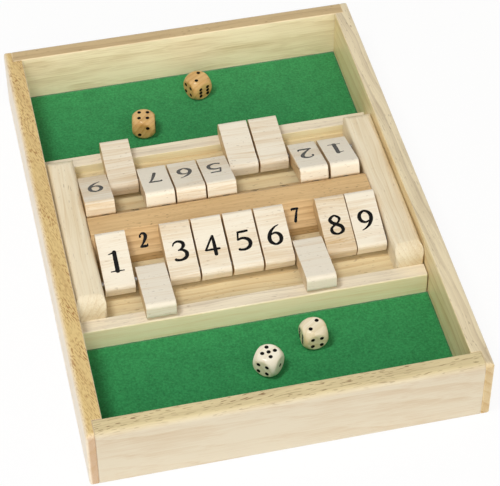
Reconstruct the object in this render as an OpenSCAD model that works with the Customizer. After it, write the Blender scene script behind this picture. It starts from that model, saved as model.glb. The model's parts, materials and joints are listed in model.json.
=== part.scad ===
// Shut the box game for two sides: an open wooden tray with a centre block
// that carries two rows of numbered tiles on steel rods, and four dice.
// Right is +X, the back is +Y, up is +Z, and the origin is the middle of the
// underside. Every size is in millimetres.

/* [Tiles] */
// Number of tiles in each row
tile_count = 9; // [6:1:12]
// Width of one tile along its row
tile_w = 18.7; // [14:0.1:24]
// Length of one tile from its pivot end to its far end
tile_len = 40; // [34:0.5:46]
// Thickness of one tile
tile_t = 11; // [9:0.1:12.5]
// Rounding of the cross edges at both ends of a tile
tile_round = 3; // [1:0.1:4]
// Gap between two tiles side by side
tile_gap = 1.05; // [0.5:0.05:2]
// Gap between the last tile of a row and the side rail
end_gap = 1.85; // [0.5:0.05:3]
// Distance from the pivot end of a tile to its rod
pivot_inset = 7; // [5:0.1:9]

/* [Rods] */
// Diameter of the steel rods
rod_d = 3; // [2:0.1:4]
// Radial clearance of the rod in its holes
rod_fit = 0.05; // [0.02:0.01:0.1]
// Clearance over the bed that a tile's corner keeps as it turns
turn_gap = 1.2; // [0.2:0.05:2]
// Depth of the rod's hole in each side rail
rod_seat = 10; // [5:0.5:15]
// Space between the end of a rod and the end of its hole
rod_end_gap = 0.3; // [0.1:0.1:1]

/* [Centre block] */
// Width of the flat top of the ridge
ridge_top_w = 14; // [10:0.5:20]
// Angle of the ridge's two numbered slopes
ridge_slope = 40; // [35:1:45]
// Width of the ridge at its foot
ridge_w = 40.5; // [34:0.5:42]
// Height of the ridge above the bed
ridge_h = 17.5; // [16:0.1:20.5]
// Distance from the tip of an open tile to the near edge of the ridge's flat top
ridge_back = 2.75; // [2:0.05:5]
// Thickness of the bed board
bed_t = 10.5; // [8.5:0.5:12.5]
// Front to back size of the front and back rails
rail_d = 9.5; // [8:0.5:14]
// Height of the front and back rails
rail_h = 16.5; // [15.5:0.1:17.5]
// Rounding of the rails' top outer edge
rail_round = 1; // [0.5:0.5:5]
// How far a shut tile's tip stays behind the rail's outer face
rail_margin = 0.75; // [0.5:0.05:4]
// Gap between each end of the front and back rails and the side walls
rail_gap = 0.8; // [0.1:0.1:1.5]
// Width of the side rails
side_rail_w = 18; // [16:0.1:30]
// Height of the side rails above the bed
side_rail_h = 19; // [16:0.5:22]
// Rounding of the side rails' long top edges
side_rail_round = 4; // [1:0.5:6]
// Rounding of the side rails' ends, from their top down
side_rail_end_round = 12; // [4:0.5:13]
// Rounding of the side rails' four upright corners
side_rail_corner = 3; // [1:0.5:5]
// Gap between the bed board and side rails and the side walls
block_gap = 0.3; // [0.1:0.1:1]
// Clearance that is left where a resting tile meets its stop
stop_gap = 0.05; // [0.02:0.01:0.3]

/* [Box] */
// Front to back size of each dice tray
tray_d = 82; // [60:0.5:120]
// Thickness of the four walls
wall_t = 11.5; // [9:0.5:16]
// Height of the walls
box_h = 44; // [40:0.5:60]
// End grain of a side wall that is left outside the rabbet
lap_t = 5.5; // [3:0.5:6.5]
// Rounding of the walls' top outer edges
top_round = 3.5; // [1:0.5:5]
// Rounding of the four upright corners
corner_round = 2; // [1:0.5:4]
// Rounding of the edges that are only eased by sanding
eased = 0.8; // [0.3:0.1:1.5]

/* [Base and felt] */
// Height of the base panel above the table
panel_lift = 5; // [3:0.5:8]
// Thickness of the base panel
panel_t = 4; // [3:0.5:6]
// Depth of the groove that holds the base panel
groove_d = 4.5; // [2:0.5:5]
// Space round the base panel in its groove
panel_gap = 0.3; // [0.1:0.1:1]
// Thickness of the felt
felt_t = 1; // [0.6:0.1:2]
// Space between the felt and the wood round it
felt_gap = 0.3; // [0.1:0.1:1]

/* [Dice] */
// Size of a die across its flat faces
die_size = 15.5; // [12:0.5:18]
// Radius of the ball that rounds off a die's corners
die_ball_r = 9.9; // [9:0.1:12]
// Distance of a pip from the middle of its face
pip_step = 2.8; // [2.4:0.1:3.4]
// Diameter of a pip
pip_d = 2.5; // [1.5:0.1:3]
// Depth of a pip
pip_depth = 0.35; // [0.1:0.05:0.6]

/* [Hidden] */
$fn = 48;
cut = 1;

// Tiles that are flipped shut in each row
front_shut = [2, 7];
back_shut = [3, 4, 8];

// How the play along each row is shared out, from before its first tile to
// behind its last tile
front_play = [1.7, 1.9, 0.95, 1.2, 1.35, 1.1, 1.1, 0.8, 0.6, 1.4];
back_play = [3.1, 1.4, 1.7, 1.3, 1.1, 1.05, 1.05, 0.7, 0.35, 0.35];

// Each die: place across, place from its tray's middle, turn, and the numbers
// on its top, bottom, front, back, right and left faces
front_die_left_pose = [-2.1, 1.65, -40, [5, 2, 4, 3, 1, 6]];
front_die_right_pose = [29.2, 16.65, 4, [2, 5, 4, 3, 1, 6]];
back_die_left_pose = [-36.3, -11.45, -11, [4, 3, 2, 5, 6, 1]];
back_die_right_pose = [6.7, 18.45, 24, [2, 5, 6, 1, 3, 4]];

// Widths
row_w = tile_count * tile_w + (tile_count - 1) * tile_gap;
rail_face_x = row_w / 2 + end_gap;
inner_w = 2 * (rail_face_x + side_rail_w + block_gap);
box_w = inner_w + 2 * wall_t;

// Depths, measured from the middle of the ridge
tile_reach = tile_len - pivot_inset;
rod_y = ridge_top_w / 2 + ridge_back + tile_reach;
block_half = rod_y + tile_reach + rail_margin;
rail_inner = block_half - rail_d;
inner_d = 2 * (block_half + tray_d);
box_d = inner_d + 2 * wall_t;
tray_mid = block_half + tray_d / 2;

// Heights
floor_z = panel_lift + panel_t;
felt_top = floor_z + felt_t;
rail_top = floor_z + rail_h;
bed_top = floor_z + bed_t;
ridge_top = bed_top + ridge_h;
rod_z = bed_top + turn_gap + norm([pivot_inset - tile_round, tile_t / 2 - tile_round]) + tile_round;
ridge_drop = (ridge_w - ridge_top_w) / 2 * tan(ridge_slope);

// An open tile rests with the rounded corner of its tip on the ridge's slope
tip_u = tile_reach - tile_round;
tip_w = tile_round - tile_t / 2;
edge_y = rod_y - ridge_top_w / 2;
edge_z = ridge_top - rod_z;
edge_off = edge_z * cos(ridge_slope) - edge_y * sin(ridge_slope);
open_tilt = ridge_slope - atan2(tip_w, tip_u)
    + asin((tile_round + stop_gap + edge_off) / norm([tip_u, tip_w]));

// A shut tile rests with its flat face on the inner edge of the rail
sill_y = rail_inner - rod_y;
sill_z = rail_top - rod_z;
shut_tilt = asin((tile_t / 2 + stop_gap) / norm([sill_y, sill_z])) + atan2(sill_z, sill_y);

pip_ball_r = (pow(pip_d / 2, 2) + pow(pip_depth, 2)) / (2 * pip_depth);

// Pushes a flat outline of the YZ plane along X, the same both ways
module along_x(length)
    rotate([90, 0, 90]) translate([0, 0, -length / 2]) linear_extrude(length) children();

// Pushes a flat outline of the XZ plane along Y, the same both ways
module along_y(length)
    rotate([90, 0, 0]) translate([0, 0, -length / 2]) linear_extrude(length) children();

// Rectangle from corner low to corner high, with a rounding of its own at the
// low left, low right, high right and high left corners
module soft_rect(low, high, r) {
    polygon([
        [low.x + r[0], low.y], [high.x - r[1], low.y],
        [high.x, low.y + r[1]], [high.x, high.y - r[2]],
        [high.x - r[2], high.y], [low.x + r[3], high.y],
        [low.x, high.y - r[3]], [low.x, low.y + r[0]]
    ]);
    translate([low.x + r[0], low.y + r[0]]) circle(r[0]);
    translate([high.x - r[1], low.y + r[1]]) circle(r[1]);
    translate([high.x - r[2], high.y - r[2]]) circle(r[2]);
    translate([low.x + r[3], high.y - r[3]]) circle(r[3]);
}

// Plan of the whole box with its rounded corners, drawn up to its full height
module box_plan() {
    corners = [corner_round, corner_round, corner_round, corner_round];
    linear_extrude(box_h) soft_rect([-box_w / 2, -box_d / 2], [box_w / 2, box_d / 2], corners);
}

// Groove round the inside of the four walls
module panel_groove() {
    translate([-inner_w / 2 - groove_d, -inner_d / 2 - groove_d, panel_lift])
        cube([inner_w + 2 * groove_d, inner_d + 2 * groove_d, panel_t]);
}

// Left wall, the full depth of the box, rabbeted at both ends
module side_wall() {
    difference() {
        intersection() {
            box_plan();
            along_y(box_d) soft_rect([-box_w / 2, 0], [-inner_w / 2, box_h], [eased, eased, eased, top_round]);
            along_x(box_w) soft_rect([-box_d / 2, 0], [box_d / 2, box_h], [eased, eased, top_round, top_round]);
        }
        for (side = [-1, 1])
            translate([lap_t - box_w / 2, side * (inner_d + wall_t + cut) / 2 - (wall_t + cut) / 2, -cut])
                cube([wall_t, wall_t + cut, box_h + 2 * cut]);
        panel_groove();
    }
}

// Front wall, held between the laps of the side walls
module end_wall() {
    difference() {
        intersection() {
            box_plan();
            along_x(box_w - 2 * lap_t)
                soft_rect([-box_d / 2, 0], [-inner_d / 2, box_h], [eased, eased, eased, top_round]);
        }
        panel_groove();
    }
}

module left_wall() color("#d9bd86") side_wall();
module right_wall() color("#d9bd86") mirror([1, 0, 0]) side_wall();
module front_wall() color("#e0cba2") end_wall();
module back_wall() color("#e0cba2") mirror([0, 1, 0]) end_wall();

// Thin panel that slides in the groove and closes the box below
module base_panel() {
    w = inner_w + 2 * (groove_d - panel_gap);
    d = inner_d + 2 * (groove_d - panel_gap);
    color("#cdb07e") translate([-w / 2, -d / 2, panel_lift]) cube([w, d, panel_t]);
}

// Felt that lines the front tray
module tray_felt() {
    w = inner_w - 2 * felt_gap;
    d = tray_d - 2 * felt_gap;
    translate([-w / 2, -tray_mid - d / 2, floor_z]) cube([w, d, felt_t]);
}

module front_felt() color("#2f8a4e") tray_felt();
module back_felt() color("#2f8a4e") mirror([0, 1, 0]) tray_felt();

// Front rail of the centre block, rounded towards its tray
module cross_rail() {
    along_x(inner_w - 2 * rail_gap)
        soft_rect([-block_half, floor_z], [-rail_inner, rail_top], [eased / 2, eased / 2, eased / 2, rail_round]);
}

module front_rail() color("#e8dabb") cross_rail();
module back_rail() color("#e8dabb") mirror([0, 1, 0]) cross_rail();

// Board under the tiles, between the two rails
module bed_board() {
    w = inner_w - 2 * block_gap;
    color("#d8bf92") translate([-w / 2, -rail_inner, floor_z]) cube([w, 2 * rail_inner, bed_t]);
}

// Bar in the middle, with a flat top and a numbered slope on both sides
module ridge_bar() {
    color("#c6a36c") along_x(2 * rail_face_x) polygon([
        [-ridge_w / 2, bed_top], [ridge_w / 2, bed_top],
        [ridge_w / 2, ridge_top - ridge_drop], [ridge_top_w / 2, ridge_top],
        [-ridge_top_w / 2, ridge_top], [-ridge_w / 2, ridge_top - ridge_drop]
    ]);
}

// Left side rail, rounded over its top and both ends, with two blind rod holes
module side_rail() {
    outer = inner_w / 2 - block_gap;
    top = bed_top + side_rail_h;
    corners = [side_rail_corner, side_rail_corner, side_rail_corner, side_rail_corner];
    difference() {
        intersection() {
            along_x(box_w) soft_rect([-rail_inner, bed_top], [rail_inner, top],
                [eased / 2, eased / 2, side_rail_end_round, side_rail_end_round]);
            along_y(box_d) soft_rect([-outer, bed_top], [-rail_face_x, top],
                [eased / 2, eased / 2, side_rail_round, side_rail_round]);
            linear_extrude(top) soft_rect([-outer, -rail_inner], [-rail_face_x, rail_inner], corners);
        }
        for (side = [-1, 1])
            translate([-rail_face_x - rod_seat, side * rod_y, rod_z])
                rotate([0, 90, 0]) cylinder(r = rod_d / 2 + rod_fit, h = rod_seat + cut);
    }
}

module left_side_rail() color("#e3d5b5") side_rail();
module right_side_rail() color("#e3d5b5") mirror([1, 0, 0]) side_rail();

// Steel rod through one row of tiles, held in both side rails
module rod(y) {
    half = rail_face_x + rod_seat - rod_end_gap;
    translate([-half, y, rod_z]) rotate([0, 90, 0]) cylinder(d = rod_d, h = 2 * half);
}

module front_rod() color("#b9bcc0") rod(-rod_y);
module back_rod() color("#b9bcc0") rod(rod_y);

// One tile with its rod hole at the origin, its tip towards +Y and its number up
module tile() {
    ends = [tile_round, tile_round, tile_round, tile_round];
    difference() {
        along_x(tile_w) soft_rect([-pivot_inset, -tile_t / 2], [tile_reach, tile_t / 2], ends);
        rotate([0, 90, 0]) cylinder(r = rod_d / 2 + rod_fit, h = tile_w + 2 * cut, center = true);
    }
}

// Play that a row has before its tile of that number
function play_before(number, shares) =
    number == 0 ? 0 : play_before(number - 1, shares) + (is_undef(shares[number - 1]) ? 1 : shares[number - 1]);

// Middle of a tile along its row
function tile_x(number, shares) =
    (number - 0.5) * tile_w - rail_face_x + (2 * rail_face_x - tile_count * tile_w)
        * play_before(number, shares) / play_before(tile_count + 1, shares);

// A front tile by its number, open on the ridge or shut on the rail
module placed_tile(number, shut, shares) {
    turn = shut ? 180 - shut_tilt : open_tilt;
    color("#eadfc9") translate([tile_x(number, shares), -rod_y, rod_z]) rotate([turn, 0, 0]) tile();
}

function is_in(number, list) = len(search(number, list)) > 0;

module front_tile(number) placed_tile(number, is_in(number, front_shut), front_play);
module back_tile(number) rotate([0, 0, 180]) placed_tile(number, is_in(number, back_shut), back_play);

// Where the pips of each number sit on a face, in steps from its middle
pips = [
    [],
    [[0, 0]],
    [[-1, -1], [1, 1]],
    [[-1, -1], [0, 0], [1, 1]],
    [[-1, -1], [-1, 1], [1, -1], [1, 1]],
    [[-1, -1], [-1, 1], [0, 0], [1, -1], [1, 1]],
    [[-1, -1], [-1, 0], [-1, 1], [1, -1], [1, 0], [1, 1]]
];
// Turns that bring a pattern on the top face to each face of a die
face_turns = [[0, 0, 0], [180, 0, 0], [90, 0, 0], [90, 0, 180], [90, 0, 90], [90, 0, -90]];

// A die with flat faces and ball-rounded corners, standing in its tray
module die(pose, side) {
    numbers = pose[3];
    translate([pose[0], side * tray_mid + pose[1], felt_top + die_size / 2]) rotate([0, 0, pose[2]])
        difference() {
            intersection() {
                cube(die_size, center = true);
                sphere(die_ball_r);
            }
            for (face = [0 : 5], pip = pips[numbers[face]])
                rotate(face_turns[face])
                    translate([pip.x * pip_step, pip.y * pip_step, die_size / 2 + pip_ball_r - pip_depth])
                        sphere(pip_ball_r);
        }
}

module front_die_left() color("#efe6cf") die(front_die_left_pose, -1);
module front_die_right() color("#e9dcbc") die(front_die_right_pose, -1);
module back_die_left() color("#c89b62") die(back_die_left_pose, 1);
module back_die_right() color("#c08f50") die(back_die_right_pose, 1);

left_wall();
right_wall();
front_wall();
back_wall();
base_panel();
front_felt();
back_felt();
front_rail();
back_rail();
bed_board();
ridge_bar();
left_side_rail();
right_side_rail();
front_rod();
back_rod();
for (number = [1 : tile_count]) {
    front_tile(number);
    back_tile(number);
}
front_die_left();
front_die_right();
back_die_left();
back_die_right();
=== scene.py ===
"""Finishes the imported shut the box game: lacquered wood, felt trays, printed numbers and enamelled dice."""

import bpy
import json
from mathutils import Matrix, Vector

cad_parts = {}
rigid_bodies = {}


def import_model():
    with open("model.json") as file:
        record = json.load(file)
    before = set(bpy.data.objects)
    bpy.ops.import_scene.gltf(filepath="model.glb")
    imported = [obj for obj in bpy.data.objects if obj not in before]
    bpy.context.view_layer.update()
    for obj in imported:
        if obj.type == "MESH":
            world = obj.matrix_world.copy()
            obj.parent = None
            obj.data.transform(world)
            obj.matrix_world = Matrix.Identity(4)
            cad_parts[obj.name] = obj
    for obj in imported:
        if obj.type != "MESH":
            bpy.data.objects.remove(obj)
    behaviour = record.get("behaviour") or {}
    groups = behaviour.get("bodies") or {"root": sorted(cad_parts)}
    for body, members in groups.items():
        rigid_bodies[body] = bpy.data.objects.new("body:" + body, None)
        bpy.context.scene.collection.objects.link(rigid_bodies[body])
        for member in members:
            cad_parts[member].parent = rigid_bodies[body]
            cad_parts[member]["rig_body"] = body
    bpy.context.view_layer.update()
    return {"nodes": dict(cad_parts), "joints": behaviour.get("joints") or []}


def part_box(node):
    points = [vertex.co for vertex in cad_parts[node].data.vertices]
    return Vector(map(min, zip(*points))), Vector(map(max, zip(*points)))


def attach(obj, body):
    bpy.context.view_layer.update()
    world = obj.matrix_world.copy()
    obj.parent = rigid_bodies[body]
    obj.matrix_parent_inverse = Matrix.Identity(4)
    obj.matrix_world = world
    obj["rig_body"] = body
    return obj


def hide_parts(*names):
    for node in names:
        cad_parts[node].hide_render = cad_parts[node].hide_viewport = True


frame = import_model()

import json
import math
import random

import bmesh
import bpy
from bpy.props import FloatProperty, FloatVectorProperty, IntProperty, PointerProperty
from mathutils import Matrix, Vector, noise
from mathutils.geometry import delaunay_2d_cdt

bl_info = {
    "name": "Shut the Box Finisher",
    "version": (1, 0, 0),
    "blender": (4, 5, 0),
    "location": "3D View > Sidebar > Game Box",
    "description": "Gives a packed shut the box game its wood, felt, printed numbers and dice",
    "category": "Object",
}

MM = 0.001
MERGE = 0.0005 * MM  # points nearer to each other than this are one point
WHITE = (1.0, 1.0, 1.0, 1.0)
X_AXIS, Y_AXIS, Z_AXIS = Vector((1, 0, 0)), Vector((0, 1, 0)), Vector((0, 0, 1))

# Pieces of wood whose grain runs from front to back. In all others it runs from left to right.
LENGTHWISE = ("left_wall", "right_wall", "base_panel", "left_side_rail", "right_side_rail")
ROWS = ("front", "back")
TILES = [node for node in frame["nodes"] if "_tile_" in node]
DICE = [node for node in frame["nodes"] if "_die_" in node]


def linear(code):
    """A hex colour as the linear red, green and blue that Blender mixes."""
    parts = [int(code[i:i + 2], 16) / 255 for i in (1, 3, 5)]
    return tuple(c / 12.92 if c <= 0.04045 else ((c + 0.055) / 1.055) ** 2.4 for c in parts)


def colour(name, description, code):
    """A colour that a user can change."""
    return FloatVectorProperty(name=name, description=description, default=linear(code),
                               subtype="COLOR", min=0, max=1)


def length(name, description, millimetres):
    """A size that a user can change."""
    return FloatProperty(name=name, description=description, default=millimetres * MM, min=0,
                         unit="LENGTH", precision=5)


class WoodSettings(bpy.types.PropertyGroup):
    """Colours of the woods and how far their edges are eased."""

    left_pale: colour("Left wall, pale", "Early wood of the left wall", "#EFE3CF")
    left_ring: colour("Left wall, ring", "Late wood of the left wall", "#D6BE96")
    left_top: colour("Left top", "Planed top of the left wall", "#DEC387")
    right_pale: colour("Right wall, pale", "Early wood of the right wall", "#F0DDB0")
    right_ring: colour("Right wall, ring", "Late wood of the right wall", "#C9A463")
    right_top: colour("Right top", "Planed top of the right wall", "#EADCBB")
    # The front wall's pale and ring colours are partly its own wood and partly painted shade: darkened to
    # hold back the strong front light and floor bounce on its outer face.
    front_pale: colour("Front wall, pale", "Early wood of the front wall", "#D0C7B4")
    front_ring: colour("Front wall, ring", "Late wood of the front wall", "#B99C76")
    front_top: colour("Front top", "Planed top of the front wall", "#DCCCA0")
    back_pale: colour("Back wall, pale", "Early wood of the back wall", "#F9EBCB")
    back_ring: colour("Back wall, ring", "Late wood of the back wall", "#C3A672")
    back_top: colour("Back top", "Planed top of the back wall", "#CBB286")
    # The cross rails' pale and ring colours, on every face but the top, are painted light: brighter than
    # their top, standing for the light on the front rail's front face.
    cross_pale: colour("Cross rail, pale", "Early wood of the front and back rails", "#FFF6D2")
    cross_ring: colour("Cross rail, ring", "Late wood of the front and back rails", "#EACF96")
    cross_top: colour("Cross rail top", "Planed top of the front and back rails", "#F3E7CE")
    rail_pale: colour("Rail, pale", "Early wood of the side rails", "#EDE1C6")
    rail_ring: colour("Rail, ring", "Late wood of the side rails", "#CFB484")
    bed_pale: colour("Bed, pale", "Early wood of the bed board", "#E6D5AC")
    bed_ring: colour("Bed, ring", "Late wood of the bed board", "#C29D66")
    ridge_pale: colour("Ridge, pale", "Early wood of the ridge bar", "#DDBB88")
    ridge_ring: colour("Ridge, ring", "Late wood of the ridge bar", "#A87C44")
    tile_pale: colour("Tile, pale", "Early wood of the tiles", "#EFE7D6")
    tile_ring: colour("Tile, ring", "Late wood of the tiles", "#CDAC7A")
    panel_pale: colour("Panel, pale", "Face veneer of the base panel", "#DCC69C")
    panel_ring: colour("Panel, ring", "Late wood of the base panel", "#B7935C")
    pore: colour("Pore", "Open pores and flecks in all the woods", "#6E4617")
    fleck: colour("Fleck", "Flecks on the top edge of the left wall", "#9A6428")
    wall_ease: length("Wall edges", "Width of the sanded edges of the walls", 0.5)
    rail_ease: length("Rail edges", "Width of the sanded edges of the centre block", 0.5)
    tile_ease: length("Tile edges", "Width of the sanded edges of the tiles", 0.9)


class NumberSettings(bpy.types.PropertyGroup):
    """Sizes of the printed numbers."""

    ink: colour("Ink", "Black printing ink", "#080706")
    tile_height: length("Tile number", "Height of a number on a tile", 14.0)
    tile_place: length("Tile place", "Distance of a tile's number from its rod", 11.6)
    ridge_height: length("Ridge number", "Height of a number on the ridge", 9.0)
    ridge_pitch: length("Ridge pitch", "Distance from one ridge number to the next", 19.45)
    thickness: length("Ink film", "How far the ink stands on the wood", 0.04)


class FeltSettings(bpy.types.PropertyGroup):
    """The felt and its nap."""

    deep: colour("Felt, deep", "Colour deep in the felt", "#1D6D3C")
    bright: colour("Felt, bright", "Colour of the fibres on top", "#3BA25E")
    step: length("Mesh step", "Distance between the points of the felt's surface", 1.6)
    bulge: length("Unevenness", "How far the felt's surface rises and falls", 0.12)
    overhang: length("Edge", "How far the cut edge reaches into the gap round it", 0.25)
    nap_count: IntProperty(name="Fibres", description="Loose fibres on each sheet", default=2600, min=0)
    nap_length: length("Fibre length", "Length of a loose fibre", 2.2)
    nap_width: length("Fibre width", "Thickness of a loose fibre", 0.09)


class DiceSettings(bpy.types.PropertyGroup):
    """Colours of the dice, and sizes of their edges and pips."""

    cream_pale: colour("Cream, pale", "Pale wood of the cream dice", "#FFF8E6")
    cream_ring: colour("Cream, ring", "Darker wood of the cream dice", "#E2CFA0")
    brown_pale: colour("Brown, pale", "Pale wood of the brown dice", "#DCB679")
    brown_ring: colour("Brown, ring", "Darker wood of the brown dice", "#B07A38")
    pip: colour("Pip", "Enamel in the pips", "#080706")
    ease: length("Edges", "Width of the polished edges", 1.2)
    pip_d: length("Pip", "Diameter of the enamel in a pip", 2.55)
    proud: length("Enamel", "How far the enamel stands on a die's face", 0.06)


class StudioSettings(bpy.types.PropertyGroup):
    """Camera, light and background."""

    eye: FloatVectorProperty(name="Camera", description="Place of the camera", subtype="TRANSLATION",
                             unit="LENGTH", default=(-0.176779, -0.862812, 0.912342))
    turn: FloatVectorProperty(name="Camera turn", description="Turn of the camera", subtype="EULER",
                              unit="ROTATION", default=[math.radians(a) for a in (44.021, 0.330, -12.721)])
    lens: FloatProperty(name="Lens", description="Focal length on a 36 mm sensor", default=142.05,
                        unit="CAMERA")
    key_power: FloatProperty(name="Key lamp", description="Power of the soft box above", default=11.3,
                             unit="POWER")
    sky_low: FloatProperty(name="Sky, low", description="Brightness of the room near the horizon",
                           default=0.82)
    sky_high: FloatProperty(name="Sky, high", description="Brightness of the room overhead", default=0.1)
    sky_front: FloatProperty(name="Sky, front", description="Brightness that the room adds behind the camera",
                             default=1.55)
    front_tint: colour("Front tint", "Colour of the room behind the camera", "#FFF8EA")
    floor: colour("Floor", "Paper that the game stands on", "#F7F6F4")


class GameBoxSettings(bpy.types.PropertyGroup):
    """Everything that can be set."""

    wood: PointerProperty(type=WoodSettings)
    numbers: PointerProperty(type=NumberSettings)
    felt: PointerProperty(type=FeltSettings)
    dice: PointerProperty(type=DiceSettings)
    studio: PointerProperty(type=StudioSettings)


def settings():
    """This scene's own values."""
    return bpy.context.scene.game_box


# Node trees and materials

def feed(tree, node, sockets):
    """Feeds a node's sockets, by name or in their order, with numbers, colours or other nodes' sockets. A
    node by itself stands for its first output."""
    given = sockets if isinstance(sockets, dict) else dict(enumerate(sockets))
    for key, value in given.items():
        if isinstance(value, bpy.types.Node):
            value = value.outputs[0]
        if isinstance(value, bpy.types.NodeSocket):
            tree.links.new(value, node.inputs[key])
        else:
            node.inputs[key].default_value = value


def put(tree, kind, sockets=(), **values):
    """Adds one node with its settings and links."""
    node = tree.nodes.new(kind)
    for name, value in values.items():
        setattr(node, name, value)
    feed(tree, node, sockets)
    return node


def new_material(name):
    """A material with only its output and its Principled shader."""
    material = bpy.data.materials.new(name)
    material.use_nodes = True
    return material, material.node_tree, material.node_tree.nodes["Principled BSDF"]


def rgba(values):
    """A colour with full alpha."""
    return (*values[:3], 1.0)


def cloudy(tree, place, sizes, detail=2.0):
    """Cloudy noise whose blobs have the given sizes, in the unit of the place where it is read."""
    place = put(tree, "ShaderNodeVectorMath", (place, [1 / size for size in sizes]), operation="MULTIPLY")
    return put(tree, "ShaderNodeTexNoise",
               {"Vector": place, "Scale": 1.0, "Detail": detail, "Roughness": 0.55})


def layered(tree, base, *layers):
    """A colour with layers over it. Each layer is its share and its colour."""
    for share, over in layers:
        base = put(tree, "ShaderNodeMix", {0: share, 6: base, 7: over}, data_type="RGBA").outputs[2]
    return base


# Sizes in the wood's figure, in millimetres. Blobs are along, across and through the grain.
BEND_SIZE, STREAK_SIZE = (90, 20, 20), (38, 0.75, 0.75)
BLOTCH_SIZE, PATCH_SIZE = (60, 14, 14), (30, 9, 9)
RING_WANDER = 12.0
PORE_WIDTH = 0.7

# How late in its year a ring turns dark, how soft a pore's edge is, and how strong a planed top's figure is
LATE_WOOD, PORE_EDGE, TOP_FIGURE = 2.2, 0.07, 0.6


def lacquered_wood(name, colours, kind, fleck=None, ring_gap=3.2, ring_show=0.3, streak_show=0.5,
                   blotch_show=0.5, pore_length=3.6, pore_show=0.55, pore_share=0.5, end_grain_and_shade=0.45,
                   end_dark=0.0, shine=0.38):
    """Plain sawn pale hardwood, such as rubberwood, under a thin satin lacquer. Faint growth rings and fine
    streaks run along the grain, with short dark pores, and the lacquer gives the edges a soft shine. Faces
    that look along the grain are darker: on most pieces that is the thirsty end grain, on the tiles it is
    painted shade on the sides that face the gaps between them. Where a piece has a top colour, its up-facing
    faces take it: on the walls that is the planed top, on the cross rails the faces around the top are
    painted brighter, as painted light. The pattern reads the piece's own grain attribute, which is in
    millimetres."""
    material, tree, shader = new_material(name)
    pale, ring = (rgba(getattr(colours, f"{kind}_{layer}")) for layer in ("pale", "ring"))
    top = getattr(colours, kind + "_top", None)
    pore = rgba(settings().wood.pore if fleck is None else fleck)
    grain = put(tree, "ShaderNodeAttribute", attribute_name="grain").outputs["Vector"]
    tone = put(tree, "ShaderNodeAttribute", attribute_name="tone").outputs["Fac"]
    facing = put(tree, "ShaderNodeAttribute", attribute_name="facing").outputs["Vector"]
    planed, end = put(tree, "ShaderNodeSeparateXYZ", [facing]).outputs[:2]

    # Growth rings about the heart of the log, darkest in the late wood of each year
    bend = cloudy(tree, grain, BEND_SIZE)
    bent = put(tree, "ShaderNodeVectorMath", (bend, (0.0, RING_WANDER, 0.0), grain),
               operation="MULTIPLY_ADD")
    years = put(tree, "ShaderNodeVectorMath", (bent, (0.0, 1 / ring_gap, 1 / ring_gap)), operation="MULTIPLY")
    years = put(tree, "ShaderNodeVectorMath", [years], operation="LENGTH").outputs["Value"]
    year = put(tree, "ShaderNodeMath", [years], operation="FRACT")
    late = put(tree, "ShaderNodeMath", (year, LATE_WOOD), operation="POWER")
    winter = put(tree, "ShaderNodeMapRange", (year, 1.0, 0.9), interpolation_type="SMOOTHSTEP")
    late = put(tree, "ShaderNodeMath", (late, winter), operation="MULTIPLY")

    # How dark the wood is: rings, streaks, blotches, end grain (painted shade on the tiles' gap-facing sides)
    # and the tone of the whole piece
    streak = cloudy(tree, bent, STREAK_SIZE, detail=3.0)
    blotch = cloudy(tree, grain, BLOTCH_SIZE)
    dark = put(tree, "ShaderNodeMath", (tone, -streak_show - blotch_show), operation="ADD")
    for value, show in ((late, ring_show), (streak, 2 * streak_show), (blotch, 2 * blotch_show),
                        (end, end_grain_and_shade)):
        dark = put(tree, "ShaderNodeMath", (value, show, dark), operation="MULTIPLY_ADD")
    dark.use_clamp = True

    # Open pores: dashes that come and go in patches, and on a planed top show only there
    low = 0.74 - 0.12 * pore_share
    pores = cloudy(tree, bent, (pore_length, PORE_WIDTH, PORE_WIDTH), detail=0.0)
    pores = put(tree, "ShaderNodeMapRange", (pores, low, low + PORE_EDGE), interpolation_type="SMOOTHSTEP")
    patch = cloudy(tree, grain, PATCH_SIZE)
    patch = put(tree, "ShaderNodeMapRange", (patch, 0.35, 0.65, 0.25, 1.0), interpolation_type="SMOOTHSTEP")
    pores = put(tree, "ShaderNodeMath", (pores, patch), operation="MULTIPLY")
    layers = [(dark, ring)]
    if top is not None:
        pores = put(tree, "ShaderNodeMath", (pores, planed), operation="MULTIPLY")
        figure = put(tree, "ShaderNodeMath", (dark, TOP_FIGURE), operation="MULTIPLY")
        thirst = put(tree, "ShaderNodeMath", (end, end_dark), operation="MULTIPLY")
        layers += [(planed, layered(tree, rgba(top), (figure, pore))), (thirst, pore)]
    layers.append((put(tree, "ShaderNodeMath", (pores, pore_show), operation="MULTIPLY"), pore))

    height = put(tree, "ShaderNodeMath", (streak, 0.5), operation="MULTIPLY")
    height = put(tree, "ShaderNodeMath", (height, pores), operation="SUBTRACT")
    bump = put(tree, "ShaderNodeBump", {"Height": height, "Strength": 0.25, "Distance": 0.05 * MM})
    feed(tree, shader, {"Base Color": layered(tree, pale, *layers), "Normal": bump, "Roughness": shine,
                        "IOR": 1.5})
    return material


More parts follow.
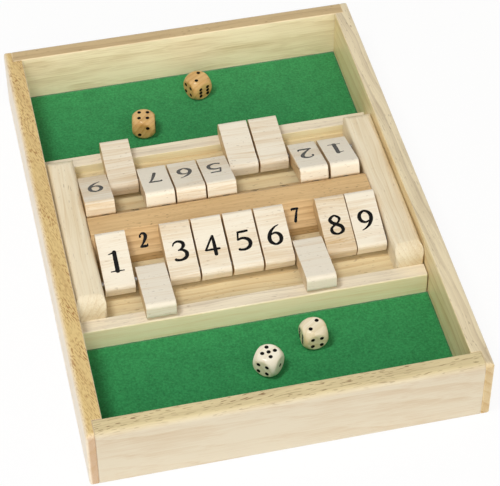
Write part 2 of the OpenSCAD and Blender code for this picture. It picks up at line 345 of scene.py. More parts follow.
def wool_felt(felt):
    """Pressed green wool felt: a matt mat of short fibres, cloudy at 10 mm and speckled at 1 mm, with a
    velvet rim of light where it is seen from low down. Speckles are drawn coarser than the real fibres."""
    material, tree, shader = new_material("pressed_wool_felt")
    place = put(tree, "ShaderNodeTexCoord").outputs["Object"]
    clouds = cloudy(tree, place, [14 * MM] * 3, detail=3.0)
    specks = cloudy(tree, place, [1.3 * MM] * 3, detail=4.0)
    share = put(tree, "ShaderNodeMath", (clouds, 0.2), operation="MULTIPLY")
    share = put(tree, "ShaderNodeMath", (specks, 0.85, share), operation="MULTIPLY_ADD")
    share = put(tree, "ShaderNodeMapRange", (share, 0.17, 0.88), interpolation_type="SMOOTHSTEP")
    bump = put(tree, "ShaderNodeBump", {"Height": specks, "Strength": 0.6, "Distance": 0.25 * MM})
    feed(tree, shader, {"Base Color": layered(tree, rgba(felt.deep), (share, rgba(felt.bright))),
                        "Normal": bump, "Roughness": 0.95, "Specular IOR Level": 0.15,
                        "Sheen Weight": 0.25, "Sheen Roughness": 0.5})
    return material


def printed_ink(numbers):
    """Screen printed black ink under the tiles' own lacquer: it goes grey where it mirrors the room."""
    material, tree, shader = new_material("screen_printed_ink")
    place = put(tree, "ShaderNodeTexCoord").outputs["Object"]
    worn = cloudy(tree, place, [0.35 * MM] * 3)
    worn = put(tree, "ShaderNodeMapRange", (worn, 0.55, 0.8, 0.0, 0.03), interpolation_type="SMOOTHSTEP")
    film = layered(tree, rgba(numbers.ink), (worn, rgba(linear("#BCB3A6"))))
    feed(tree, shader, {"Base Color": film, "Roughness": 0.26})
    return material


def pip_enamel(dice):
    """Black enamel dropped into the pips: dark, with a satin skin."""
    material, tree, shader = new_material("black_enamel")
    place = put(tree, "ShaderNodeTexCoord").outputs["Object"]
    cloud = cloudy(tree, place, [0.5 * MM] * 3)
    film = layered(tree, rgba(dice.pip), (cloud, rgba(linear("#161210"))))
    feed(tree, shader, {"Base Color": film, "Roughness": 0.4, "Specular IOR Level": 0.06})
    return material


def drawn_steel():
    """Bright drawn steel wire: fine scratches along its length, so it mirrors in a soft band."""
    material, tree, shader = new_material("drawn_steel_wire")
    place = put(tree, "ShaderNodeTexCoord").outputs["Object"]
    marks = cloudy(tree, place, [9 * MM, 0.12 * MM, 0.12 * MM], detail=3.0)
    skin = layered(tree, rgba(linear("#9EA1A5")), (marks, rgba(linear("#D4D6D9"))))
    gloss = put(tree, "ShaderNodeMapRange", (marks, 0.2, 0.8, 0.18, 0.38), interpolation_type="SMOOTHSTEP")
    feed(tree, shader, {"Base Color": skin, "Roughness": gloss, "Metallic": 1.0})
    return material


# Meshes

def link(name, mesh, material):
    """A new object at the origin with one material."""
    piece = bpy.data.objects.new(name, mesh)
    bpy.context.scene.collection.objects.link(piece)
    if material is not None:
        mesh.materials.append(material)
    return piece


def flat_face(name, left, right, front, back, z):
    """A mesh of one level face."""
    mesh = bpy.data.meshes.new(name)
    corners = [(left, front, z), (right, front, z), (right, back, z), (left, back, z)]
    mesh.from_pydata(corners, [], [(0, 1, 2, 3)])
    return mesh


def frozen(piece):
    """Turns what a piece's modifiers make into its plain mesh."""
    graph = bpy.context.evaluated_depsgraph_get()
    mesh = bpy.data.meshes.new_from_object(piece.evaluated_get(graph), preserve_all_data_layers=True,
                                           depsgraph=graph)
    mesh.name = piece.name
    piece.modifiers.clear()
    piece.data = mesh
    return piece


def joined_mesh(mesh):
    """A CAD mesh with its faces joined up, to work on."""
    work = bmesh.new()
    work.from_mesh(mesh)
    bmesh.ops.remove_doubles(work, verts=work.verts, dist=MERGE)
    return work


def eased_copy(node, name, ease, material):
    """A copy of a CAD node with its flat faces joined up and its sharp edges sanded round."""
    mesh = frame["nodes"][node].data.copy()
    mesh.materials.clear()
    work = joined_mesh(mesh)
    bmesh.ops.dissolve_limit(work, angle_limit=math.radians(0.1), verts=work.verts, edges=work.edges)
    for face in work.faces:
        face.smooth = True
    work.to_mesh(mesh)
    work.free()
    if mesh.attributes.get("custom_normal"):
        mesh.attributes.remove(mesh.attributes["custom_normal"])
    piece = link(name, mesh, material)
    bevel = piece.modifiers.new("ease", "BEVEL")
    bevel.width = ease
    bevel.segments = 3
    bevel.limit_method = "ANGLE"
    bevel.angle_limit = math.radians(30)
    bevel.harden_normals = True
    weighted = piece.modifiers.new("flat", "WEIGHTED_NORMAL")
    weighted.keep_sharp = True
    frozen(piece)

    # A bevel may overshoot at a sharp corner, so no point leaves the CAD node's box
    low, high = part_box(node)
    for point in piece.data.vertices:
        point.co = [min(max(value, a), b) for value, a, b in zip(point.co, low, high)]
    return piece


def lay_grain(piece, along, seed, tone=0.0, runout=0.0):
    """Writes each point's place in the log, in millimetres along, across and through the grain, and how far
    each face looks up and looks along the grain. runout turns the grain away from the piece's length, in
    degrees, and tone darkens the whole piece."""
    dice = random.Random(seed)
    along = Matrix.Rotation(math.radians(runout), 3, "Z") @ along
    across = Z_AXIS.cross(along)
    shift = Vector((dice.uniform(-400, 400), dice.uniform(-18, 18), dice.uniform(35, 80)))
    mesh = piece.data
    grain = mesh.attributes.new("grain", "FLOAT_VECTOR", "POINT")
    for point, item in zip(mesh.vertices, grain.data):
        place = point.co / MM
        item.vector = Vector((place.dot(along), place.dot(across), place.z)) + shift
    tones = mesh.attributes.new("tone", "FLOAT", "POINT")
    shade = tone + dice.uniform(-0.06, 0.06)
    for item in tones.data:
        item.value = shade
    facing = mesh.attributes.new("facing", "FLOAT_VECTOR", "CORNER")
    for corner, item in zip(mesh.corner_normals, facing.data):
        item.vector = (max(0.0, corner.vector.z) ** 2, abs(corner.vector.dot(along)) ** 4, 0.0)


def seat(piece, node):
    """Puts a finished piece in a CAD node's place."""
    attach(piece, frame["nodes"][node]["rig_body"])
    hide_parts(node)


def ride_along(piece, node):
    """Lets a piece go with the body of a CAD node."""
    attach(piece, frame["nodes"][node]["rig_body"])


def finish_wood(node, ease, material, tone=0.0, runout=0.0):
    """Puts an eased copy in a CAD node's place, with its grain laid along it."""
    piece = eased_copy(node, node + "_wood", ease, material)
    lay_grain(piece, Y_AXIS if node in LENGTHWISE else X_AXIS, node, tone, runout)
    seat(piece, node)


def largest_flat(node, towards):
    """Centre and normal of the largest flat face of a CAD node that looks roughly one way."""
    mesh, groups = frame["nodes"][node].data, {}
    towards = towards.normalized()
    for face in mesh.polygons:
        if face.normal.dot(towards) > 0.5:
            groups.setdefault(tuple(round(n, 2) for n in face.normal), []).append(face)
    best = max(groups.values(), key=lambda faces: sum(face.area for face in faces))
    points = [mesh.vertices[i].co for face in best for i in face.vertices]
    low, high = (Vector([pick(p[i] for p in points) for i in range(3)]) for pick in (min, max))
    return (low + high) / 2, best[0].normal.copy()


# Pieces whose wood is darker, or paler, than the rest of their kind, and by how much
TONES = {
    "front_tile_3": 0.1, "front_tile_5": 0.05, "front_tile_6": 0.15, "front_tile_7": -0.25,
    "front_tile_8": 0.45, "back_tile_1": -0.3, "back_tile_3": 0.1, "back_tile_6": 0.1,
    "back_tile_7": -0.2, "back_tile_8": 0.3, "back_tile_9": 0.35, "front_die_right": 0.45,
}

# Numbers. Each stroke is a line of points: place across, place up, and half the stroke's width, in
# millimetres on a number 14 mm high.
DIGIT_HEIGHT = 14.0
DIGIT_MIDDLE = 5.0
STROKES = {
    1: [[(5.3, 0.4, 1.16), (5.3, 5, 1.12), (5.3, 13.2, 1.12)],
        [(6.1, 13.5, 0.5), (4.2, 12.9, 0.5), (1.6, 12.2, 0.24)],
        [(1.3, 0.34, 0.3), (3.6, 0.4, 0.38), (5.3, 0.7, 0.7), (7.0, 0.4, 0.38), (9.3, 0.34, 0.3)]],
    2: [[(1.5, 10.4, 0.7), (1.8, 12.0, 0.5), (4.4, 13.4, 0.62), (7.2, 12.6, 0.95), (8.2, 10.2, 1.1),
         (6.9, 7.2, 0.95), (4.2, 3.8, 0.65), (1.4, 0.8, 0.45)],
        [(1.2, 0.75, 0.7), (5.0, 0.8, 0.85), (8.6, 0.9, 0.75), (9.4, 2.6, 0.3)]],
    3: [[(1.2, 10.9, 0.34), (2.3, 12.6, 0.5), (4.7, 13.4, 0.66), (7.2, 12.4, 0.92), (7.8, 10.4, 0.98),
         (6.5, 8.4, 0.66), (4.2, 7.3, 0.38)],
        [(4.4, 7.4, 0.4), (7.0, 7.1, 0.72), (8.9, 4.9, 1.05), (8.1, 2.1, 0.95), (5.3, 0.72, 0.7),
         (2.6, 0.8, 0.72), (1.6, 1.3, 0.8)]],
    4: [[(6.7, 13.3, 0.6), (6.75, 8.0, 0.92), (6.8, 0.8, 1.0)],
        [(6.5, 13.3, 0.6), (3.7, 8.9, 0.56), (0.95, 4.3, 0.56)],
        [(0.95, 4.2, 0.56), (5.0, 4.2, 0.62), (9.4, 4.2, 0.66)]],
    5: [[(2.6, 12.9, 0.62), (5.4, 12.9, 0.72), (8.4, 13.1, 0.62)],
        [(2.6, 12.9, 0.55), (2.1, 10.4, 0.5), (1.7, 7.9, 0.5)],
        [(1.7, 7.8, 0.6), (4.8, 8.5, 0.72), (8.0, 7.2, 0.98), (9.0, 4.6, 1.05), (7.8, 2.0, 0.9),
         (5.0, 0.75, 0.72), (2.6, 0.8, 0.66), (1.6, 1.15, 0.74)]],
    6: [[(8.6, 13.6, 0.26), (6.0, 12.4, 0.5), (3.1, 9.7, 0.85), (1.5, 6.0, 1.06), (2.0, 2.6, 1.0),
         (4.9, 0.68, 0.64), (7.8, 2.1, 0.9), (8.8, 4.9, 1.05), (7.8, 7.4, 0.92), (5.5, 8.5, 0.6),
         (3.1, 7.6, 0.42), (1.7, 6.2, 0.3)]],
    7: [[(1.4, 11.6, 0.28), (1.6, 12.9, 0.66), (5.0, 12.9, 0.78), (8.9, 12.9, 0.66)],
        [(8.8, 13.0, 0.5), (6.6, 8.4, 0.72), (4.2, 0.8, 0.95)]],
    8: [[(5.1, 7.4, 0.95), (2.7, 9.0, 1.0), (2.0, 11.2, 0.88), (4.9, 13.4, 0.56), (7.8, 11.4, 0.76),
         (7.2, 9.2, 0.6), (5.1, 7.4, 0.5), (2.3, 5.6, 0.66), (1.5, 3.5, 0.9), (2.4, 1.6, 0.84),
         (5.1, 0.62, 0.58), (8.1, 1.9, 0.84), (8.7, 3.9, 0.98), (7.7, 5.9, 1.05), (5.1, 7.4, 0.95)]],
}
STROKES[9] = [[(2 * DIGIT_MIDDLE - x, DIGIT_HEIGHT - y, w) for x, y, w in line] for line in STROKES[6]]


def smooth_line(points, steps=7):
    """Points on a smooth curve through the given ones, widths included."""
    ends = [points[0], *points, points[-1]]
    line = []
    for a, b, c, d in zip(ends, ends[1:], ends[2:], ends[3:]):
        for step in range(steps):
            t = step / steps
            line.append(tuple(
                0.5 * (2 * q + (r - p) * t + (2 * p - 5 * q + 4 * r - s) * t ** 2
                       + (3 * q - p - 3 * r + s) * t ** 3)
                for p, q, r, s in zip(a, b, c, d)))
    return line + [points[-1]]


def anticlockwise(loop):
    """The loop, turned round if it runs clockwise."""
    area = sum(a[0] * b[1] - b[0] * a[1] for a, b in zip(loop, loop[1:] + loop[:1]))
    return loop if area > 0 else loop[::-1]


def stroke_shapes(points, across, boldness, sides_of_end=14):
    """Flat shapes that together cover one stroke: a band of triangles and round ends."""
    line = [(x * across, y, w * boldness) for x, y, w in smooth_line(points)]
    sides = []
    for i, (x, y, w) in enumerate(line):
        before, after = line[max(i - 1, 0)], line[min(i + 1, len(line) - 1)]
        step = Vector((after[0] - before[0], after[1] - before[1])).normalized()
        sides.append(((x - step.y * w, y + step.x * w), (x + step.y * w, y - step.x * w)))
    shapes = [t for (a, b), (c, d) in zip(sides, sides[1:]) for t in ([a, b, d], [a, d, c])]
    for x, y, w in (line[0], line[-1]):
        turns = [math.tau * i / sides_of_end for i in range(sides_of_end)]
        shapes.append([(x + w * math.cos(t), y + w * math.sin(t)) for t in turns])
    return [anticlockwise(shape) for shape in shapes]


def digit_faces(digit, across=1.0, boldness=1.0):
    """Flat triangles of one number about its middle, on a number 14 mm high."""
    shapes = [shape for points in STROKES[digit] for shape in stroke_shapes(points, across, boldness)]
    points = [Vector(p) for shape in shapes for p in shape]
    faces, start = [], 0
    for shape in shapes:
        faces.append(list(range(start, start + len(shape))))
        start += len(shape)
    points, _, faces, _, _, owners = delaunay_2d_cdt(points, [], faces, 0, 1e-4)
    middle = Vector((DIGIT_MIDDLE * across, DIGIT_HEIGHT / 2))
    return [p - middle for p in points], [f for f, owner in zip(faces, owners) if owner]


def ink_plate(name, digit, height, centre, normal, up, ink, across=1.0, boldness=1.0):
    """One printed number as a thin closed plate that stands on a flat face."""
    thickness = settings().numbers.thickness
    flat, faces = digit_faces(digit, across, boldness)
    right = up.cross(normal)
    scale = height / DIGIT_HEIGHT
    work = bmesh.new()
    sunk = thickness / 2
    points = [work.verts.new(centre + (right * p.x + up * p.y) * scale - normal * sunk) for p in flat]
    for face in faces:
        work.faces.new([points[i] for i in face])
    loose = [point for point in work.verts if not point.link_faces]
    bmesh.ops.delete(work, geom=loose, context="VERTS")
    bmesh.ops.dissolve_limit(work, angle_limit=math.radians(1), verts=work.verts, edges=work.edges)
    raised = bmesh.ops.extrude_face_region(work, geom=work.faces[:])["geom"]
    moved = [item for item in raised if isinstance(item, bmesh.types.BMVert)]
    bmesh.ops.translate(work, vec=normal * (sunk + thickness), verts=moved)
    bmesh.ops.recalc_face_normals(work, faces=work.faces)
    mesh = bpy.data.meshes.new(name)
    work.to_mesh(mesh)
    work.free()
    return link(name, mesh, ink)


def tile_face(node):
    """Middle of the rod's line, number face's normal and the way to the tip, of one tile."""
    joint = next(j for j in frame["joints"] if j["child"] == node)

    # A tile that rests open can only turn forward. A shut one, whose number looks down, can only turn back.
    is_open = joint["range_deg"][1] > 0
    centre, normal = largest_flat(node, Z_AXIS if is_open else -Z_AXIS)
    rod = Vector(joint["pos_m"])
    rod.x = centre.x
    up = normal.cross(X_AXIS).normalized()
    if up.dot(centre - rod) < 0:
        up.negate()
    depth = (centre - rod).dot(normal)
    return rod + normal * depth, normal, up


# Geometry Nodes

NAP_TILT = 0.12  # how far a fibre may stand up from the felt, in radians


def geometry_tree(name, inputs):
    """A Geometry Nodes tree with named inputs, what its input node gives, and its output node."""
    tree = bpy.data.node_groups.new(name, "GeometryNodeTree")
    for label, kind in {"Geometry": "Geometry", **inputs, "Material": "Material"}.items():
        tree.interface.new_socket(label, in_out="INPUT", socket_type="NodeSocket" + kind)
    tree.interface.new_socket("Geometry", in_out="OUTPUT", socket_type="NodeSocketGeometry")
    return tree, put(tree, "NodeGroupInput").outputs, put(tree, "NodeGroupOutput")


def end_tree(tree, copies, given, result):
    """Makes a tree's copies real and gives them their material."""
    real = put(tree, "GeometryNodeRealizeInstances", [copies])
    dressed = put(tree, "GeometryNodeSetMaterial", {"Geometry": real, "Material": given["Material"]})
    feed(tree, result, [dressed])
    return tree


def grow(piece, tree, **values):
    """Runs a tree on a piece with the given inputs and keeps the result as its plain mesh."""
    modifier = piece.modifiers.new(tree.name, "NODES")
    modifier.node_group = tree
    sockets = {item.name: item.identifier for item in tree.interface.items_tree if item.in_out == "INPUT"}
    for label, value in values.items():
        modifier[sockets[label]] = value
    return frozen(piece)


def nap_tree():
    """Loose fibres that lie every way on the felt, each a short arc."""
    tree, given, result = geometry_tree("felt_nap", {
        "Count": "Int", "Fibre_length": "Float", "Fibre_width": "Float", "Area": "Float", "Seed": "Int"})
    density = put(tree, "ShaderNodeMath", (given["Count"], given["Area"]), operation="DIVIDE")
    points = put(tree, "GeometryNodeDistributePointsOnFaces",
                 {"Mesh": given["Geometry"], "Density": density, "Seed": given["Seed"]})
    arc = put(tree, "GeometryNodeCurveArc",
              {"Resolution": 4, "Radius": given["Fibre_length"], "Sweep Angle": math.radians(60)})
    edge = put(tree, "GeometryNodeCurvePrimitiveCircle", {"Resolution": 3, "Radius": given["Fibre_width"]})
    fibre = put(tree, "GeometryNodeCurveToMesh", {"Curve": arc, "Profile Curve": edge, "Fill Caps": True})
    turn = put(tree, "FunctionNodeRandomValue",
               {0: (-NAP_TILT, -NAP_TILT, 0.0), 1: (NAP_TILT, NAP_TILT, math.tau), "Seed": given["Seed"]},
               data_type="FLOAT_VECTOR")
    size = put(tree, "FunctionNodeRandomValue", {2: 0.4, 3: 1.0}, data_type="FLOAT").outputs[1]
    fibres = put(tree, "GeometryNodeInstanceOnPoints",
                 {"Points": points, "Instance": fibre, "Rotation": turn, "Scale": size})
    return end_tree(tree, fibres, given, result)


def pip_tree():
    """A plug of enamel on every point, turned to the point's own facing."""
    tree, given, result = geometry_tree("enamel_drops", {"Radius": "Float", "Thickness": "Float"})
    drop = put(tree, "GeometryNodeMeshCylinder", {"Vertices": 24, "Radius": 1.0, "Depth": 1.0})
    facing = put(tree, "GeometryNodeInputNamedAttribute", {"Name": "facing"}, data_type="FLOAT_VECTOR")
    turn = put(tree, "FunctionNodeAlignEulerToVector", {"Vector": facing.outputs["Attribute"]}, axis="Z")
    size = put(tree, "ShaderNodeCombineXYZ", (given["Radius"], given["Radius"], given["Thickness"]))
    drops = put(tree, "GeometryNodeInstanceOnPoints",
                {"Points": given["Geometry"], "Instance": drop, "Rotation": turn, "Scale": size})
    return end_tree(tree, drops, given, result)


# Dice

def die_frame(node):
    """Middle of a die, half its width, and the three ways that its faces look."""
    low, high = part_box(node)
    _, front = largest_flat(node, -Y_AXIS)
    return (low + high) / 2, (high.z - low.z) / 2, [front, front.cross(Z_AXIS), Z_AXIS]


def dimple_faces(node, work):
    """Faces of a die's mesh that lie in its dimples."""
    centre, half, ways = die_frame(node)
    ball = max((point.co - centre).length for point in work.verts)
    under_face, under_ball = half - 0.01 * MM, ball - 0.1 * MM

    def is_sunk(place):
        return max(abs(place.dot(way)) for way in ways) < under_face and place.length < under_ball

    return [face for face in work.faces if is_sunk(face.calc_center_median() - centre)]


def rounded_die(node, name, ease, material):
    """A copy of a CAD die with its dimples closed, ready for enamel, and its edges polished round."""
    work = joined_mesh(frame["nodes"][node].data)
    bmesh.ops.delete(work, geom=dimple_faces(node, work), context="FACES")
    bmesh.ops.holes_fill(work, edges=[edge for edge in work.edges if edge.is_boundary])
    mesh = bpy.data.meshes.new(name)
    work.to_mesh(mesh)
    work.free()
    piece = link(name, mesh, material)
    grid = piece.modifiers.new("grid", "REMESH")
    grid.mode = "VOXEL"
    grid.voxel_size = ease / 4
    grid.use_smooth_shade = True
    polish = piece.modifiers.new("polish", "SMOOTH")
    polish.factor = 0.5
    polish.iterations = 50
    return frozen(piece)


def dimples(node):
    """Middle and facing of every dimple of a die, at the height of the die's face."""
    centre, half, ways = die_frame(node)
    work = joined_mesh(frame["nodes"][node].data)
    waiting, found = dict.fromkeys(dimple_faces(node, work)), []
    while waiting:
        dimple = [waiting.popitem()[0]]
        for face in dimple:
            for other in [other for side in face.edges for other in side.link_faces]:
                if other in waiting:
                    del waiting[other]
                    dimple.append(other)
        points = {point: point.co for face in dimple for point in face.verts}
        middle = sum(points.values(), Vector()) / len(points)
        facing = max([way * s for way in ways for s in (-1, 1)], key=(middle - centre).dot)
        found.append((middle + facing * (half - (middle - centre).dot(facing)), facing))
    work.free()
    return found


# Operators

class FinishOperator:
    """What all the operators share."""

    bl_options = {"REGISTER", "UNDO"}


class GAMEBOX_OT_stage(FinishOperator, bpy.types.Operator):
    """Set up the camera, the soft box, the room's light and the paper floor"""

    bl_idname = "gamebox.stage"
    bl_label = "Studio"

    def execute(self, context):
        studio = settings().studio
        self.add_camera(context, studio)
        self.add_soft_box(context, studio)
        self.add_room_light(context, studio)
        self.add_floor(studio)
        context.scene.view_settings.view_transform = "Standard"
        return {"FINISHED"}

    def add_camera(self, context, studio):
        """The camera at the photograph's viewing angle."""
        data = bpy.data.cameras.new("photo_camera")
        data.sensor_width = 36.0
        data.lens = studio.lens
        data.clip_end = 20.0
        camera = bpy.data.objects.new("photo_camera", data)
        camera.location = studio.eye
        camera.rotation_euler = studio.turn
        context.scene.collection.objects.link(camera)
        context.scene.camera = camera

    def add_soft_box(self, context, studio, size=(0.25, 0.4), place=(-0.54, -0.3, 1.5)):
        """A soft box that looks at the middle of the game."""
        data = bpy.data.lights.new("soft_box_above", "AREA")
        data.shape = "RECTANGLE"
        data.size, data.size_y = size
        data.energy = studio.key_power
        lamp = bpy.data.objects.new("soft_box_above", data)
        lamp.location = place
        lamp.rotation_euler = (-Vector(place)).to_track_quat("-Z", "Y").to_euler()
        context.scene.collection.objects.link(lamp)

    def seen_rays(self, tree):
        """1 for rays that show the background: from the camera, and off or through shiny surfaces."""
        rays = put(tree, "ShaderNodeLightPath").outputs
        seen = rays["Is Camera Ray"]
        for other in ("Is Glossy Ray", "Is Transmission Ray"):
            seen = put(tree, "ShaderNodeMath", (seen, rays[other]), operation="MAXIMUM")
        return seen

    def add_room_light(self, context, studio):
        """The room's light on the game, brightest behind the camera, and the white that the camera sees."""
        world = bpy.data.worlds.new("white_room")
        world.use_nodes = True
        tree = world.node_tree
        way = put(tree, "ShaderNodeTexCoord").outputs["Object"]
        up = put(tree, "ShaderNodeSeparateXYZ", [way]).outputs["Z"]
        sky = put(tree, "ShaderNodeMapRange", (up, 0.05, 0.55, studio.sky_low, studio.sky_high),
                  interpolation_type="SMOOTHSTEP")
        front = put(tree, "ShaderNodeVectorMath", (way, (0.0, -0.89, 0.45)), operation="DOT_PRODUCT")
        front = put(tree, "ShaderNodeMapRange", (front.outputs["Value"], 0.45, 0.95),
                    interpolation_type="SMOOTHSTEP")
        light = put(tree, "ShaderNodeMath", (front, studio.sky_front, sky), operation="MULTIPLY_ADD")
        white = put(tree, "ShaderNodeMapRange", (up, 0.5, 0.9, 1.0, 0.15), interpolation_type="SMOOTHSTEP")
        seen = self.seen_rays(tree)
        level = put(tree, "ShaderNodeMix", {0: seen, 2: light, 3: white}, data_type="FLOAT")
        warm = put(tree, "ShaderNodeMix", {0: seen, 2: front, 3: 0.0}, data_type="FLOAT")
        tint = layered(tree, WHITE, (warm, rgba(studio.front_tint)))
        feed(tree, tree.nodes["Background"], {"Strength": level, "Color": tint})
        context.scene.world = world

    def add_floor(self, studio, glow_share=0.92, reach=4.0, drop=-0.1 * MM):
        """White paper just under the game, which keeps a faint shadow."""
        material, tree, shader = new_material("white_paper")
        feed(tree, shader, {"Base Color": rgba(studio.floor), "Roughness": 0.9, "Specular IOR Level": 0.1})
        glow = put(tree, "ShaderNodeEmission", {"Color": WHITE, "Strength": 1.0})
        share = put(tree, "ShaderNodeMath", (self.seen_rays(tree), glow_share), operation="MULTIPLY")
        paper = put(tree, "ShaderNodeMixShader", (share, shader, glow))
        feed(tree, tree.nodes["Material Output"], {"Surface": paper})
        mesh = flat_face("paper_floor", -reach, reach, -reach, reach, drop)
        link("paper_floor", mesh, material)


class GAMEBOX_OT_case(FinishOperator, bpy.types.Operator):
    """Finish the four walls and the base panel"""

    bl_idname = "gamebox.case"
    bl_label = "Case"

    def execute(self, context):
        wood = settings().wood

        # How far the grain leaves each wall's length, in degrees, and how its figure differs
        walls = {
            "left": (16, dict(fleck=wood.fleck, pore_share=1.7, pore_show=0.75, pore_length=3.2,
                              end_dark=0.65)),
            "right": (4, dict(ring_show=0.5, pore_share=0.3, pore_show=0.5, end_grain_and_shade=0.1, end_dark=0.38)),
            "front": (3, dict(pore_share=0.75, pore_show=0.75, pore_length=5.0)),
            "back": (0, dict(pore_share=0.1)),
        }
        for side, (runout, figure) in walls.items():
            node = side + "_wall"
            material = lacquered_wood(node + "_rubberwood", wood, side, ring_gap=6.0, **figure)
            finish_wood(node, wood.wall_ease, material, runout=runout)
        sheet = lacquered_wood("panel_plywood", wood, "panel", ring_gap=9.0, ring_show=0.6, pore_share=0.2,
                               shine=0.6)
        finish_wood("base_panel", wood.wall_ease / 2, sheet)
        return {"FINISHED"}


class GAMEBOX_OT_centre_block(FinishOperator, bpy.types.Operator):
    """Finish the rails, the bed board and the ridge"""

    bl_idname = "gamebox.centre_block"
    bl_label = "Centre block"

    def execute(self, context):
        wood = settings().wood
        # The cross rails' faces are painted brighter than their top, as painted light.
        cross = lacquered_wood("cross_rail_rubberwood", wood, "cross", ring_gap=5.0, pore_share=0.1,
                               pore_show=0.35)
        rails = lacquered_wood("side_rail_rubberwood", wood, "rail", pore_share=0.1, pore_show=0.35,
                               end_grain_and_shade=0.15)
        bed = lacquered_wood("bed_pine", wood, "bed", ring_gap=3.0, ring_show=0.5, pore_share=0.1)
        ridge = lacquered_wood("ridge_oiled_rubberwood", wood, "ridge", ring_gap=2.6, ring_show=0.5,
                               pore_share=0.35)
        pieces = {"front_rail": cross, "back_rail": cross, "left_side_rail": rails, "right_side_rail": rails,
                  "bed_board": bed, "ridge_bar": ridge}
        for node, material in pieces.items():
            finish_wood(node, wood.rail_ease, material)
        return {"FINISHED"}


# Widths of the swells in the felt's face and of the tatters at its cut edge
SWELL, TATTER = 7 * MM, 2 * MM


class GAMEBOX_OT_felt(FinishOperator, bpy.types.Operator):
    """Lay the felt in both trays, with its loose fibres"""

    bl_idname = "gamebox.felt"
    bl_label = "Felt"

    def execute(self, context):
        felt = settings().felt
        wool = wool_felt(felt)
        tree = nap_tree()
        for seed, row in enumerate(ROWS):
            node = row + "_felt"
            low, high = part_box(node)
            sheet = self.felt_sheet(node + "_sheet", low, high, felt, seed, wool)
            seat(sheet, node)
            nap = self.nap(node + "_nap", low, high, felt, seed, wool, tree)
            ride_along(nap, node)
        return {"FINISHED"}

    def felt_sheet(self, name, low, high, felt, seed, wool):
        """A pressed sheet with a soft uneven surface and a slightly ragged cut edge."""
        size = high - low
        columns, lines = (max(2, round(size[i] / felt.step)) for i in (0, 1))
        work = bmesh.new()
        rows = []
        for j in range(lines + 1):
            row = []
            for i in range(columns + 1):
                x, y = low.x + size.x * i / columns, low.y + size.y * j / lines
                swell = noise.noise(Vector((x, y, seed)) / SWELL)
                ragged = felt.overhang * (0.7 + 0.3 * noise.noise(Vector((x, y, seed + 5)) / TATTER))
                x += ragged * ((i == columns) - (i == 0))
                y += ragged * ((j == lines) - (j == 0))
                row.append(work.verts.new((x, y, high.z - felt.bulge * (0.5 + 0.5 * swell))))
            rows.append(row)
        for below, above in zip(rows, rows[1:]):
            for a, b, c, d in zip(below, below[1:], above[1:], above):
                work.faces.new((a, b, c, d))
        skirt = bmesh.ops.extrude_face_region(work, geom=work.faces[:])["geom"]
        for item in skirt:
            if isinstance(item, bmesh.types.BMVert):
                item.co.z = low.z
        bmesh.ops.recalc_face_normals(work, faces=work.faces)
        for face in work.faces:
            face.smooth = abs(face.normal.z) > 0.5
        mesh = bpy.data.meshes.new(name)
        work.to_mesh(mesh)
        work.free()
        return link(name, mesh, wool)

    def nap(self, name, low, high, felt, seed, wool, tree):
        """Fibres that lie loose on one sheet."""
        inset = felt.nap_length
        left, right, front, back = low.x + inset, high.x - inset, low.y + inset, high.y - inset
        piece = link(name, flat_face(name, left, right, front, back, high.z - felt.bulge / 2), None)
        return grow(piece, tree, Count=felt.nap_count, Fibre_length=felt.nap_length, Seed=seed,
                    Fibre_width=felt.nap_width / 2, Area=(right - left) * (back - front), Material=wool)


class GAMEBOX_OT_rods(FinishOperator, bpy.types.Operator):
    """Give the two rods their drawn steel"""

    bl_idname = "gamebox.rods"
    bl_label = "Rods"

    def execute(self, context):
        steel = drawn_steel()
        for row in ROWS:
            rod = frame["nodes"][row + "_rod"]
            rod.data.materials.clear()
            rod.data.materials.append(steel)
        return {"FINISHED"}


class GAMEBOX_OT_tiles(FinishOperator, bpy.types.Operator):
    """Finish the tiles and print a number on each"""

    bl_idname = "gamebox.tiles"
    bl_label = "Tiles"

    def execute(self, context):
        wood, numbers = settings().wood, settings().numbers
        # The strong end-grain darkening here is painted shade: the tiles' grain runs across them, so the
        # darkened faces are their sides, which face the narrow gaps between the tiles.
        body = lacquered_wood("tile_rubberwood", wood, "tile", ring_gap=4.2, ring_show=0.25, streak_show=0.65,
                              pore_length=2.6, pore_share=0.1, pore_show=0.35, end_grain_and_shade=0.9)
        ink = printed_ink(numbers)
        for node in TILES:
            tone = random.Random(node).uniform(-0.12, 0.06)
            finish_wood(node, wood.tile_ease, body, tone=TONES.get(node, tone))
            rod, normal, up = tile_face(node)
            number = ink_plate(node + "_number", int(node.split("_")[-1]), numbers.tile_height,
                               rod + up * numbers.tile_place, normal, up, ink, boldness=1.2)
            ride_along(number, node)
        return {"FINISHED"}


class GAMEBOX_OT_ridge_numbers(FinishOperator, bpy.types.Operator):
    """Print a number beside every tile on the ridge's two slopes"""

    bl_idname = "gamebox.ridge_numbers"
    bl_label = "Ridge numbers"

    def execute(self, context):
        numbers = settings().numbers
        ink = bpy.data.materials.get("screen_printed_ink") or printed_ink(numbers)
        for row, side in (("front", -1), ("back", 1)):
            centre, normal = largest_flat("ridge_bar", Vector((0, side, 0.8)))
            up = X_AXIS.cross(normal)
            up = up if up.z > 0 else -up
            for digit in range(1, 10):
                place = centre - X_AXIS * side * (digit - 5) * numbers.ridge_pitch
                number = ink_plate(f"{row}_ridge_number_{digit}", digit, numbers.ridge_height, place, normal,
                                   up, ink, across=0.8, boldness=1.65)
                ride_along(number, "ridge_bar")
        return {"FINISHED"}


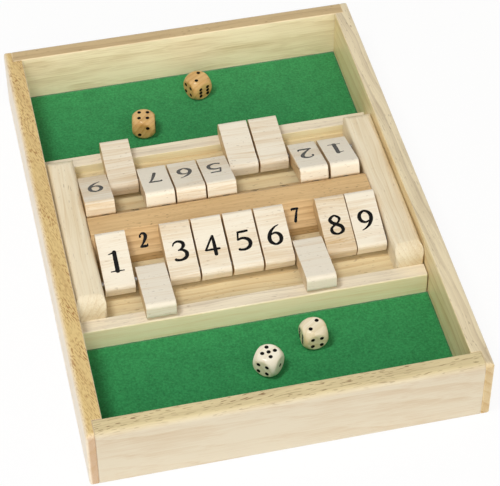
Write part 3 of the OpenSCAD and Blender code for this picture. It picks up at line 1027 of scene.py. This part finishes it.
class GAMEBOX_OT_dice(FinishOperator, bpy.types.Operator):
    """Finish the dice and fill their pips with enamel"""

    bl_idname = "gamebox.dice"
    bl_label = "Dice"

    def execute(self, context):
        dice = settings().dice
        figure = dict(ring_show=0.4, streak_show=0.3, pore_show=0.0)
        woods = {
            "front": lacquered_wood("cream_die_beech", dice, "cream", ring_gap=4.0, blotch_show=0.8,
                                    shine=0.2, **figure),
            "back": lacquered_wood("brown_die_beech", dice, "brown", ring_gap=3.0, blotch_show=0.9,
                                   shine=0.18, **figure),
        }
        enamel = pip_enamel(dice)
        tree = pip_tree()
        for node in DICE:
            piece = rounded_die(node, node + "_wood", dice.ease, woods[node.split("_")[0]])
            lay_grain(piece, Vector((0.8, 0.6, 0)), node, tone=TONES.get(node, 0.0))
            seat(piece, node)
            ride_along(self.enamel_drops(node, dice, enamel, tree), node)
        return {"FINISHED"}

    def enamel_drops(self, node, dice, enamel, tree, depth=0.3 * MM):
        """Enamel in every dimple of one die."""
        found = dimples(node)
        mesh = bpy.data.meshes.new(node + "_pips")
        mesh.from_pydata([middle + facing * (dice.proud - depth / 2) for middle, facing in found], [], [])
        ways = mesh.attributes.new("facing", "FLOAT_VECTOR", "POINT")
        for item, (_, facing) in zip(ways.data, found):
            item.vector = facing
        piece = link(node + "_pips", mesh, None)
        return grow(piece, tree, Radius=dice.pip_d / 2, Thickness=depth, Material=enamel)


OPERATORS = (GAMEBOX_OT_stage, GAMEBOX_OT_case, GAMEBOX_OT_centre_block, GAMEBOX_OT_felt, GAMEBOX_OT_rods,
             GAMEBOX_OT_tiles, GAMEBOX_OT_ridge_numbers, GAMEBOX_OT_dice)


class GAMEBOX_PT_panel(bpy.types.Panel):
    """Lists what can be made"""

    bl_idname = "GAMEBOX_PT_panel"
    bl_label = "Shut the Box"
    bl_space_type = "VIEW_3D"
    bl_region_type = "UI"
    bl_category = "Game Box"

    def draw(self, context):
        for operator in OPERATORS:
            self.layout.operator(operator.bl_idname)


CLASSES = (WoodSettings, NumberSettings, FeltSettings, DiceSettings, StudioSettings, GameBoxSettings,
           *OPERATORS, GAMEBOX_PT_panel)


def register():
    for kind in CLASSES:
        bpy.utils.register_class(kind)
    bpy.types.Scene.game_box = PointerProperty(type=GameBoxSettings)


def unregister():
    del bpy.types.Scene.game_box
    for kind in reversed(CLASSES):
        bpy.utils.unregister_class(kind)


def main():
    """Makes every piece in order."""
    register()
    bpy.ops.gamebox.stage()
    bpy.ops.gamebox.case()
    bpy.ops.gamebox.centre_block()
    bpy.ops.gamebox.felt()
    bpy.ops.gamebox.rods()
    bpy.ops.gamebox.tiles()
    bpy.ops.gamebox.ridge_numbers()
    bpy.ops.gamebox.dice()


if __name__ == "__main__":
    main()
